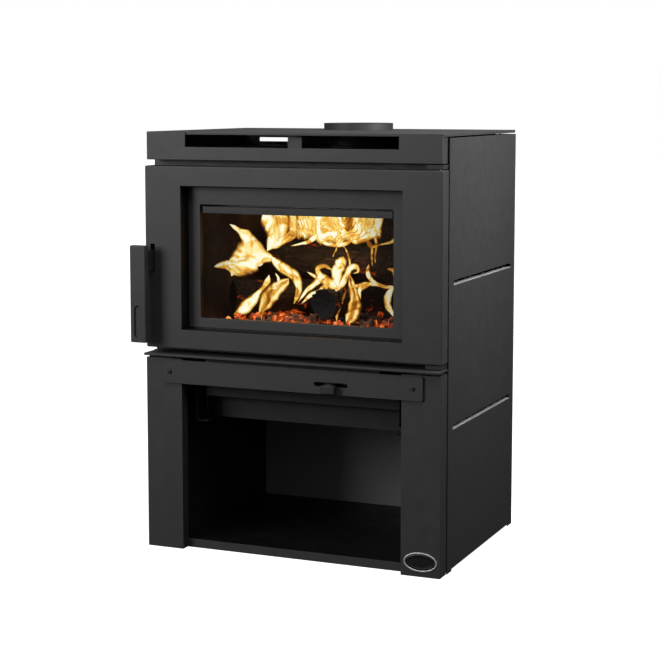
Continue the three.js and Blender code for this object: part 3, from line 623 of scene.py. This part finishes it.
def add_log(node, turn, radius, length, seed):
    """A split and half burnt log: a ridged round side, a flat split side and hollowed, crumbling ends."""
    steps, around = 90, 80
    centre = middle_of(node)
    heading = Euler((0, 0, turn)).to_matrix()
    shift = Vector((seed * 3.1, seed * 1.7, seed * 0.9))
    split_at, bark_height, check_depth, check_width = 0.80, 0.075, 0.09, 0.16
    stations = [(-0.5 * length + inset, size) for inset, size in LOG_END]
    stations += [((i / steps - 0.5) * length, 1.0) for i in range(steps + 1)]
    stations += [(0.5 * length - inset, size) for inset, size in reversed(LOG_END)]
    rings = []
    for x, size in stations:
        waist = radius * (0.95 + 0.05 * math.sin(3.0 * x / length + seed))
        ring = []
        for angle in round_angles(around):
            out = Vector((0, math.cos(angle), math.sin(angle)))
            bark = fractal(Vector((x * 14, out.y * 5.5, out.z * 5.5)) + shift, 4)
            block = abs(noise.noise(Vector((x * 42, out.y * 3.2, out.z * 3.2)) + shift))
            check = check_depth * max(0.0, check_width - block) / check_width
            towards_split = math.cos(angle - 0.8 - seed)
            split = split_at / towards_split if towards_split > split_at else 1.0
            r = waist * split * (0.97 + bark_height * bark - check)
            crumble = 0.0
            if size < 1.0:
                crumble = 0.002 * fractal(out * size * 3.5 + shift, 3)
            r = min(r, radius * 1.03)
            r = 0.93 * waist * size + (r - 0.93 * waist) * size ** 5
            place = Vector((x + crumble, 0, 0)) + out * r
            ring.append(centre + heading @ place)
        rings.append(ring)
    bm = bmesh.new()
    tube_rings(bm, rings, uv_name="bark")
    add_piece(f"burning_{node}", bm, "charred_wood", replaced=[node])


def add_ember_bed():
    """A lumpy heap of embers and ash over the firebrick floor, thin at its rim and closed underneath."""
    low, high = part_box("ember_bed")
    across, deep, rim_steepness, least_share = 150, 96, 7.0, 0.12
    bm = bmesh.new()
    grid = []
    base = low.z + 0.5 * MM
    for i in range(across + 1):
        row = []
        for k in range(deep + 1):
            u, v = i / across, k / deep
            x = low.x + (high.x - low.x) * u
            y = low.y + (high.y - low.y) * v
            rim = min(1.0, rim_steepness * min(u, 1 - u, v, 1 - v))
            stones = noise.cell(Vector((x * 42, y * 42, 1.0)))
            lumps = fractal(Vector((x * 26, y * 26, 0.3)), 4)
            round_top = noise.voronoi(Vector((x * 38, y * 38, 0.0)))[0][0]
            height = 0.62 + 0.16 * lumps + 0.20 * (0.6 - round_top) + 0.05 * stones
            z = base + (high.z - low.z) * max(least_share, min(1.0, height)) * rim ** 0.5
            row.append(bm.verts.new((x, y, max(z, base + 1 * MM))))
        grid.append(row)
    for i in range(across):
        for k in range(deep):
            bm.faces.new((grid[i][k], grid[i + 1][k], grid[i + 1][k + 1], grid[i][k + 1]))
    edge = [grid[i][0] for i in range(across)] + [grid[across][k] for k in range(deep)]
    edge += [grid[i][deep] for i in range(across, 0, -1)] + [grid[0][k] for k in range(deep, 0, -1)]
    foot = [bm.verts.new((v.co.x, v.co.y, base)) for v in edge]
    for k in range(len(edge)):
        n = (k + 1) % len(edge)
        bm.faces.new((edge[k], foot[k], foot[n], edge[n]))
    bm.faces.new(foot)
    add_piece("glowing_ember_bed", bm, "embers", replaced=["ember_bed"])


def add_coals():
    """Blocks of charcoal and burnt bark heaped between and in front of the logs."""
    count, roundness, roughness = 95, 0.35, 0.30
    side_margin, front_margin, rear_margin, sunk = 0.022, 0.016, 0.05, 0.005
    dice = random.Random(7)
    low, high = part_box("ember_bed")
    bm = bmesh.new()
    for number in range(count):
        x = dice.uniform(low.x + side_margin, high.x - side_margin)
        y = dice.uniform(low.y + front_margin, high.y - rear_margin)
        size = dice.uniform(0.010, 0.021)
        z = high.z - sunk + dice.uniform(-0.004, 0.005)
        already_there = len(bm.verts)
        block = bmesh.ops.create_cube(bm, size=size)
        sides = {edge for vertex in block["verts"] for edge in vertex.link_edges}
        bmesh.ops.subdivide_edges(bm, edges=list(sides), cuts=4, use_grid_fill=True)
        turn = Euler([dice.uniform(0, 6.28) for _ in range(3)]).to_matrix()
        stretch = Vector((dice.uniform(0.9, 1.7), dice.uniform(0.7, 1.0), dice.uniform(0.45, 0.8)))
        for v in list(bm.verts)[already_there:]:
            rounded = v.co.normalized() * size * 0.62
            local = v.co.lerp(rounded, roundness)
            local *= 1.0 + roughness * noise.noise(v.co / size * 2.6 + Vector((number, 0, 0)))
            local = Vector((local.x * stretch.x, local.y * stretch.y, local.z * stretch.z))
            v.co = turn @ local + Vector((x, y, z))
    add_piece("loose_coals", bm, "embers")


# Each flame: its name, its look, its place in depth, and its spine's points as x, z and half width, in mm.
FLAMES = [
    ("left_body", "violet", -70, [(-110, 620, 2), (-140, 625, 14.5), (-165, 630, 27.5),
     (-185, 620, 29.5), (-205, 605, 21), (-215, 580, 4)]),
    ("left_peak", "violet", -65, [(-150, 605, 20), (-170, 635, 21.5), (-180, 665, 15), (-195, 680, 7),
     (-220, 695, 2)]),
    ("left_tip", "violet", -80, [(-150, 615, 15), (-190, 600, 15), (-225, 605, 8), (-255, 600, 2)]),
    ("left_back_1", "violet", -40, [(-145, 635, 2), (-130, 655, 10.5), (-125, 675, 14.5),
     (-135, 695, 17), (-155, 720, 14.5)]),
    ("left_back_2", "full", -35, [(-140, 640, 2), (-120, 655, 10.5), (-110, 675, 10.5),
     (-115, 695, 14.5), (-125, 720, 19)]),
    ("left_back_3", "full", -45, [(-125, 645, 2), (-105, 660, 8.5), (-90, 675, 6.5), (-85, 690, 2)]),
    ("left_back_4", "faint", -45, [(-100, 655, 2), (-85, 665, 4), (-70, 685, 4), (-60, 695, 2)]),
    ("sweep", "full", -60, [(-80, 650, 1.5), (-60, 655, 2), (-40, 660, 3.5), (-20, 670, 5.5),
     (-10, 680, 2)]),
    ("lip_1", "full", -50, [(-25, 675, 2), (-5, 660, 4), (20, 655, 4.5), (50, 660, 4), (65, 670, 3.5),
     (60, 680, 1.5)]),
    ("lip_2", "full", -50, [(50, 680, 1.5), (65, 665, 4), (90, 670, 6.5), (115, 685, 8.5),
     (125, 710, 8.5), (130, 730, 6.5)]),
    ("lip_3", "full", -50, [(30, 650, 1.5), (35, 665, 3.5), (60, 680, 4), (80, 685, 4), (75, 705, 4),
     (60, 725, 4)]),
    ("right_rim", "faint", -50, [(100, 665, 2), (110, 655, 3.5), (130, 660, 2), (150, 665, 3.5),
     (165, 675, 6.5)]),
    ("strand_1", "faint", -60, [(105, 670, 4), (110, 655, 3), (110, 635, 2.5), (115, 615, 1.5)]),
    ("strand_2", "faint", -60, [(120, 675, 4), (120, 655, 2.5), (120, 635, 2), (125, 620, 1)]),
    ("strand_3", "faint", -60, [(30, 665, 2), (30, 645, 2), (25, 630, 1)]),
    ("strand_4", "faint", -60, [(40, 660, 2), (55, 645, 2), (65, 620, 2.5), (65, 600, 2),
     (60, 580, 1.5)]),
    ("bolt", "full", -80, [(-115, 630, 2), (-100, 615, 7.5), (-75, 600, 10.5), (-55, 585, 9),
     (-50, 565, 6.5), (-55, 545, 5.5), (-65, 525, 1.5)]),
    ("tongue_1", "full", -110, [(-190, 500, 2), (-165, 515, 11.5), (-145, 535, 9.5), (-130, 555, 4),
     (-115, 575, 6), (-110, 590, 1.5)]),
    ("tongue_2", "hollow", -110, [(-125, 485, 1.5), (-125, 510, 6.5), (-115, 530, 13.5),
     (-105, 550, 17), (-85, 565, 12.5), (-70, 575, 9), (-60, 585, 3)]),
    ("tongue_3", "full", -105, [(-95, 595, 1), (-90, 580, 3), (-90, 565, 4), (-105, 560, 1.5)]),
    ("middle_1", "full", -110, [(-20, 600, 1.5), (0, 590, 4), (10, 585, 6.5), (0, 575, 5.5),
     (-15, 560, 4), (-35, 535, 1)]),
    ("middle_2", "full", -110, [(40, 605, 1.5), (25, 615, 4), (10, 610, 5.5), (15, 595, 6.5),
     (30, 585, 9.5), (45, 575, 7.5), (55, 565, 1.5)]),
    ("middle_3", "full", -105, [(40, 585, 4), (30, 575, 6.5), (15, 560, 5.5), (-10, 550, 4.5),
     (-35, 530, 1)]),
    ("middle_4", "full", -100, [(50, 560, 2), (50, 585, 9), (50, 605, 11.5), (55, 620, 11),
     (60, 635, 6.5)]),
    ("middle_5", "full", -100, [(45, 560, 1.5), (60, 575, 6), (70, 595, 6), (75, 610, 6),
     (90, 615, 5.5), (95, 605, 2.5), (85, 600, 1)]),
    ("right_1", "hollow", -120, [(85, 605, 1.5), (90, 575, 7.5), (95, 550, 10.5), (95, 530, 13.5),
     (90, 510, 12.5), (80, 495, 3)]),
    ("right_2", "faint", -120, [(75, 565, 1), (65, 540, 3.5), (60, 520, 3.5), (60, 500, 1.5)]),
    ("spike", "full", -90, [(115, 620, 1), (115, 605, 4), (125, 590, 4.5), (140, 580, 2)]),
    ("log_edge", "full", -95, [(75, 570, 3.5), (100, 575, 4), (120, 580, 4), (140, 580, 4),
     (160, 575, 3.5), (180, 575, 2)]),
    ("curl", "full", -100, [(135, 585, 2), (115, 575, 5), (100, 565, 4), (100, 545, 1)]),
    ("edge_1", "full", -105, [(185, 580, 2), (170, 560, 6.5), (165, 540, 6.5), (170, 525, 5),
     (185, 510, 2)]),
    ("edge_2", "full", -60, [(150, 610, 1.5), (160, 605, 5), (170, 595, 6.5)]),
]

# Each sheet of fire: its left, right, lower and upper edges and its place in depth, in mm.
FIRE_SHEETS = [
    ("main", (-80, 125, 650, 744, -28)),
    ("left", (-140, -85, 650, 744, -12)),
]


def along_spine(points, t):
    """A point on the smooth curve through the given points, at t from 0 to 1."""
    last = len(points) - 1
    at = min(t, 0.9999) * last
    i = int(at)
    f = at - i
    p1, p2 = points[i], points[i + 1]
    p0 = points[i - 1] if i > 0 else p1 * 2 - p2
    p3 = points[i + 2] if i + 2 <= last else p2 * 2 - p1
    return 0.5 * (2 * p1 + (p2 - p0) * f + (2 * p0 - 5 * p1 + 4 * p2 - p3) * f ** 2
                  + (3 * p1 - p0 - 3 * p2 + p3) * f ** 3)


def add_flame(name, spine, depth, material, seed):
    """One tongue of fire: a thin lens-shaped body along its spine, drawn out to a point at each end."""
    steps, across, step = 60, 10, 0.01
    width_factor, flatness, ragged, sway, thinnest = 1.3, 0.2, 0.22, 0.008, 0.3 * MM
    points = [Vector(point) * MM for point in spine]
    rings = []
    for i in range(steps + 1):
        t = i / steps
        x, z, half = along_spine(points, t)
        ahead = along_spine(points, min(1.0, t + step)) - along_spine(points, max(0.0, t - step))
        side = Vector((ahead.y, 0, -ahead.x)).normalized()
        centre = Vector((x, depth * MM + sway * math.sin(4.0 * t + seed), z))
        half = max(thinnest, half * width_factor) * min(1.0, 0.2 + t * 9, 0.2 + (1 - t) * 9)
        ring = []
        for k in range(2 * across):
            u = -math.cos(math.pi * k / across)
            belly = math.sqrt(max(0.0, 1 - u * u)) * half * flatness * (1 if k < across else -1)
            wander = ragged * half * noise.noise(Vector((t * 7.0, u * 1.5, seed * 1.9)))
            ring.append(centre + side * (u * half + wander) + Vector((0, belly, 0)))
        rings.append(ring)
    bm = bmesh.new()
    tube_rings(bm, rings)
    layer = bm.loops.layers.uv.new("flow")
    for number, vertex in enumerate(bm.verts):
        row, k = divmod(number, 2 * across)
        is_tip = row > steps
        along = float(k) if is_tip else row / steps
        sideways = 0.5 if is_tip else 0.5 - 0.5 * math.cos(math.pi * k / across)
        for loop in vertex.link_loops:
            loop[layer].uv = (sideways + FLOW_STEP * seed, along)
    return add_piece(f"flame_{name}", bm, "flame", material=material)


def add_fire_sheet(name, edges, material):
    """A broad sheet of fire: a thin closed slab that waves in and out."""
    left, right, bottom, top, depth = (value * MM for value in edges)
    across, tall, thickness, waviness = 70, 24, 1.2 * MM, 0.010
    bm = bmesh.new()
    layer = bm.loops.layers.uv.new("flow")

    def grid_of_points(behind):
        rows = []
        for i in range(across + 1):
            x = left + (right - left) * (i / across)
            row = []
            for k in range(tall + 1):
                z = bottom + (top - bottom) * (k / tall)
                wave = waviness * noise.noise(Vector((x * 18, z * 12, depth * 40)))
                row.append(bm.verts.new((x, depth + wave + behind, z)))
            rows.append(row)
        return rows

    front, back = grid_of_points(0.0), grid_of_points(thickness)
    faces = []
    for grid in (front, back):
        for i in range(across):
            for k in range(tall):
                faces.append((grid[i][k], grid[i + 1][k], grid[i + 1][k + 1], grid[i][k + 1]))
    for i in range(across):
        for k in (0, tall):
            faces.append((front[i][k], front[i + 1][k], back[i + 1][k], back[i][k]))
    for k in range(tall):
        for i in (0, across):
            faces.append((front[i][k], front[i][k + 1], back[i][k + 1], back[i][k]))
    for corners in faces:
        face = bm.faces.new(corners)
        for loop in face.loops:
            place = loop.vert.co
            loop[layer].uv = ((place.x - left) / (right - left), (place.z - bottom) / (top - bottom))
    return add_piece(f"fire_sheet_{name}", bm, "flame", material=material)


def add_flames():
    """The flames round the logs and the wall of fire behind them, with no light or shadow of their own."""
    ember_fringe, violet_fringe = (0.40, 0.12, 0.008), (0.16, 0.055, 0.16)
    looks = {
        "full": flame("flame_full", ember_fringe, 1.0, 0.10, 1.0),
        "violet": flame("flame_violet", violet_fringe, 1.0, 0.06, 1.0),
        "hollow": flame("flame_hollow", ember_fringe, 0.30, 0.95, 0.92),
        "faint": flame("flame_faint", ember_fringe, 0.62, 0.0, 0.7),
    }
    fire = []
    for seed, (name, look, depth, spine) in enumerate(FLAMES):
        fire.append(add_flame(name, spine, depth, looks[look], seed))
    sheet_look = fire_sheet()
    for name, edges in FIRE_SHEETS:
        fire.append(add_fire_sheet(name, edges, sheet_look))
    for item in fire:
        item.visible_diffuse = False
        item.visible_shadow = False


# ---------------------------------------------------------------- small hardware

def add_screws():
    """Black button head screws with a hexagon socket, in place of the plain heads."""
    head, height, shank = 4.8 * MM, 2.8 * MM, 3.0 * MM
    socket_radius, socket_floor, dome = 2.5 * MM, 1.0 * MM, height - 0.4 * MM
    dome_steps, around = 6, 48
    sector = math.pi / 3
    black = painted_steel("screw_black", 0.010, 0.26)
    for side in ("left", "right"):
        node = f"cover_screw_{side}"
        low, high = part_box(node)
        centre = middle_of(node)
        profile = [(shank, high.y - low.y), (shank, height), (head * 0.98, height), (head, dome)]
        for i in range(1, dome_steps + 1):
            angle = math.pi / 2 * i / dome_steps
            radius = socket_radius + (head - socket_radius) * math.cos(angle)
            profile.append((radius, dome * (1 - math.sin(angle))))
        socket = [(socket_radius, 0.1 * MM), (socket_radius * 0.97, socket_floor)]
        rings = []
        for number, (radius, along) in enumerate(profile + socket):
            in_socket = number >= len(profile)
            ring = []
            for angle in round_angles(around):
                in_sector = (angle + sector / 2) % sector - sector / 2
                r = radius * math.cos(sector / 2) / math.cos(in_sector) if in_socket else radius
                ring.append(Vector((
                    centre.x + r * math.cos(angle), low.y + along, centre.z + r * math.sin(angle))))
            rings.append(ring)
        bm = bmesh.new()
        tube_rings(bm, rings)
        add_piece(f"button_screw_{side}", bm, "dark_paint", replaced=[node], material=black)


def add_post_flanges():
    """A folded flange behind each joint of a front post and its side panel, which keeps the light out."""
    sheet, clearance, overlap, reach, foot = 3.0 * MM, 0.2 * MM, 6.0 * MM, 28.0 * MM, 0.6 * MM
    for side, outwards in (("left", -1), ("right", 1)):
        low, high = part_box(f"pillar_{side}")
        outer = outwards * (max(abs(low.x), abs(high.x)) - sheet - clearance)
        inner = outer - outwards * sheet
        near, far = high.y - overlap, high.y + reach
        bm = bmesh.new()
        bmesh.ops.create_cube(bm, size=1.0)
        for vertex in bm.verts:
            vertex.co.x = (inner + outer) / 2 + vertex.co.x * sheet
            vertex.co.y = near + (vertex.co.y + 0.5) * (far - near)
            vertex.co.z = foot + (vertex.co.z + 0.5) * (high.z - 2 * foot)
        bmesh.ops.bevel(bm, geom=bm.edges[:], offset=0.6 * MM, segments=2, affect="EDGES")
        add_piece(f"post_flange_{side}", bm, "dark_paint")


def add_badge():
    """Oval badge: a raised bright rim and an enamel field with a plain raised ring. It carries no mark."""
    low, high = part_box("badge_plate")
    centre = middle_of("badge_plate")
    wide, tall = (high.x - low.x) / 2, (high.z - low.z) / 2
    thick = high.y - low.y
    around = 96

    def ovals(profile):
        """Rings from (mm in from the edge, share of the thickness) pairs, from the edge inwards."""
        rings = []
        for inset, height in profile:
            half_x, half_z, y = wide - inset * MM, tall - inset * MM, high.y - height * thick
            rings.append([
                Vector((centre.x + half_x * math.cos(angle), y, centre.z + half_z * math.sin(angle)))
                for angle in round_angles(around)])
        return rings

    rim = bmesh.new()
    tube_rings(rim, ovals([
        (0.2, 0.0), (0.0, 0.3), (0.2, 0.75), (0.9, 1.0), (2.6, 1.0), (3.2, 0.8), (3.4, 0.45)]))
    add_piece("badge_rim", rim, "badge_metal", replaced=["badge_plate"])
    field = bmesh.new()
    tube_rings(field, ovals([
        (3.6, 0.50), (3.6, 0.60), (5.5, 0.66), (6.0, 0.80), (6.8, 0.80), (7.3, 0.68), (12, 0.74)]))
    add_piece("badge_field", field, "badge_metal", material=badge_enamel())


def rope_path(half_x, half_z, corner):
    """Points along a rectangle with round corners, as offsets from its middle."""
    arc_steps, run_step = 8, 4 * MM
    x, z = half_x - corner, half_z - corner
    quarters = [(x, z, 0), (-x, z, 90), (-x, -z, 180), (x, -z, 270)]
    path = []
    for i, (centre_x, centre_z, start) in enumerate(quarters):
        for k in range(arc_steps + 1):
            a = math.radians(start + 90 * k / arc_steps)
            path.append(Vector((centre_x + corner * math.cos(a), 0, centre_z + corner * math.sin(a))))
        next_x, next_z, next_start = quarters[(i + 1) % len(quarters)]
        a = math.radians(next_start)
        goal = Vector((next_x + corner * math.cos(a), 0, next_z + corner * math.sin(a)))
        run = goal - path[-1]
        count = int(run.length / run_step)
        for k in range(1, count):
            path.append(path[-1] + run / count)
    return path


def add_door_rope():
    """Braided rope seal in the door's groove, pressed a little flat against the frame."""
    low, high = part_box("door_gasket")
    middle = middle_of("door_gasket")
    inset, corner, around = 6 * MM, 12 * MM, 20
    half_width, half_depth = 5.6 * MM, 0.98 * (high.y - low.y) / 2
    path = rope_path((high.x - low.x) / 2 - inset, (high.z - low.z) / 2 - inset, corner)
    bm = bmesh.new()
    rings = []
    distance = 0.0
    for i, point in enumerate(path):
        ahead = path[(i + 1) % len(path)]
        tangent = (ahead - path[i - 1]).normalized()
        out = Vector((tangent.z, 0, -tangent.x))
        ring = []
        for a in round_angles(around):
            braid = abs(math.sin(3 * a + distance * 420)) * abs(math.cos(2 * a - distance * 300))
            strand = 0.90 + 0.10 * braid
            across = out * (half_width * strand * math.cos(a))
            inwards = Vector((0, half_depth * strand * math.sin(a), 0))
            ring.append(bm.verts.new(middle + point + across + inwards))
        rings.append(ring)
        distance += (ahead - point).length
    for ring, following in zip(rings, rings[1:] + rings[:1]):
        for k in range(around):
            m = (k + 1) % around
            bm.faces.new((ring[k], ring[m], following[m], following[k]))
    add_piece("rope_door_seal", bm, "rope_seal", body="door", replaced=["door_gasket"])


# ---------------------------------------------------------------- stage

def add_camera():
    """The studio camera, with its depth of field off."""
    data = bpy.data.cameras.new("camera")
    data.lens = CAMERA["lens"]
    data.sensor_width = 36.0
    data.shift_y = CAMERA["shift_y"]
    data.dof.use_dof = False
    camera = bpy.data.objects.new("camera", data)
    camera.location = CAMERA["place"]
    camera.rotation_euler = (math.radians(90 - CAMERA["fall"]), 0, math.radians(CAMERA["heading"]))
    bpy.context.scene.collection.objects.link(camera)
    bpy.context.scene.camera = camera


def add_light(name, place, target, size, power, spread=180.0):
    """A soft rectangular lamp that points at a target."""
    data = bpy.data.lights.new(name, "AREA")
    data.shape = "RECTANGLE"
    data.size, data.size_y = size
    data.energy = power
    data.spread = math.radians(spread)
    light = bpy.data.objects.new(name, data)
    light.location = place
    light.rotation_euler = (Vector(target) - Vector(place)).to_track_quat("-Z", "Y").to_euler()
    bpy.context.scene.collection.objects.link(light)


def add_fire_glow():
    """The light of the fire on the inside of the firebox."""
    data = bpy.data.lights.new("fire_glow", "POINT")
    data.energy = 0.7
    data.color = (1.0, 0.48, 0.16)
    data.shadow_soft_size = 0.06
    off_centre, behind_glass = 0.02, 0.10
    low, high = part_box("window_glass")
    glow = bpy.data.objects.new("fire_glow", data)
    glow.location = (off_centre, high.y + behind_glass, (low.z + high.z) / 2)
    bpy.context.scene.collection.objects.link(glow)


def add_floor():
    """A wide pale floor just under the stove's feet."""
    reach, drop = 20.0, 0.2 * MM
    corners = [(-reach, -reach, 0), (reach, -reach, 0), (reach, reach, 0), (-reach, reach, 0)]
    mesh = bpy.data.meshes.new("floor")
    mesh.from_pydata(corners, [], [(0, 1, 2, 3)])
    mesh.materials.append(plain_floor())
    floor = bpy.data.objects.new("floor", mesh)
    floor.location.z = -drop
    floor.visible_diffuse = False
    floor.visible_glossy = False
    bpy.context.scene.collection.objects.link(floor)


def add_surroundings():
    """A studio that is white to look at and lights the stove softly, most from above."""
    s = Shader("studio", world=True)
    bpy.context.scene.world = s.material
    _, _, height = s.parts(s.place)
    sky = s.ramp(s.span(height, -1.0, 1.0), (0.42, 0.10), (0.72, 1.0))
    lit = s.node("ShaderNodeBackground", None, {"Color": sky, "Strength": 0.26})
    seen = s.node("ShaderNodeBackground", None, {"Color": grey(1.0), "Strength": 1.0})
    camera_ray = s.node("ShaderNodeLightPath").outputs["Is Camera Ray"]
    mixed = s.node("ShaderNodeMixShader", None, {"Fac": camera_ray})
    for number, background in ((1, lit), (2, seen)):
        s.tree.links.new(background.outputs["Background"], mixed.inputs[number])
    s.tree.links.new(mixed.outputs["Shader"], s.output.inputs["Surface"])


def add_stage():
    """Plain pale floor, white surroundings, three soft lamps and the glow of the fire."""
    bpy.context.scene.view_settings.view_transform = "Standard"
    add_floor()
    add_surroundings()
    add_light("key", (-2.6, -3.9, 1.9), (0, -0.2, 0.6), (2.0, 2.0), 85.0)
    add_light("crown", (0.55, -1.15, 2.05), (0.15, -0.25, 0.75), (1.2, 0.6), 9.0)
    add_light("side", (1.05, 0.0, 1.38), (0.34, 0.02, 0.98), (0.5, 0.8), 7.5, 110.0)
    add_fire_glow()


add_camera()
add_stage()
finish_cad_nodes()
for node_name, settings in LOGS.items():
    add_log(node_name, *settings)
add_ember_bed()
add_coals()
add_flames()
add_screws()
add_post_flanges()
add_badge()
add_door_rope()
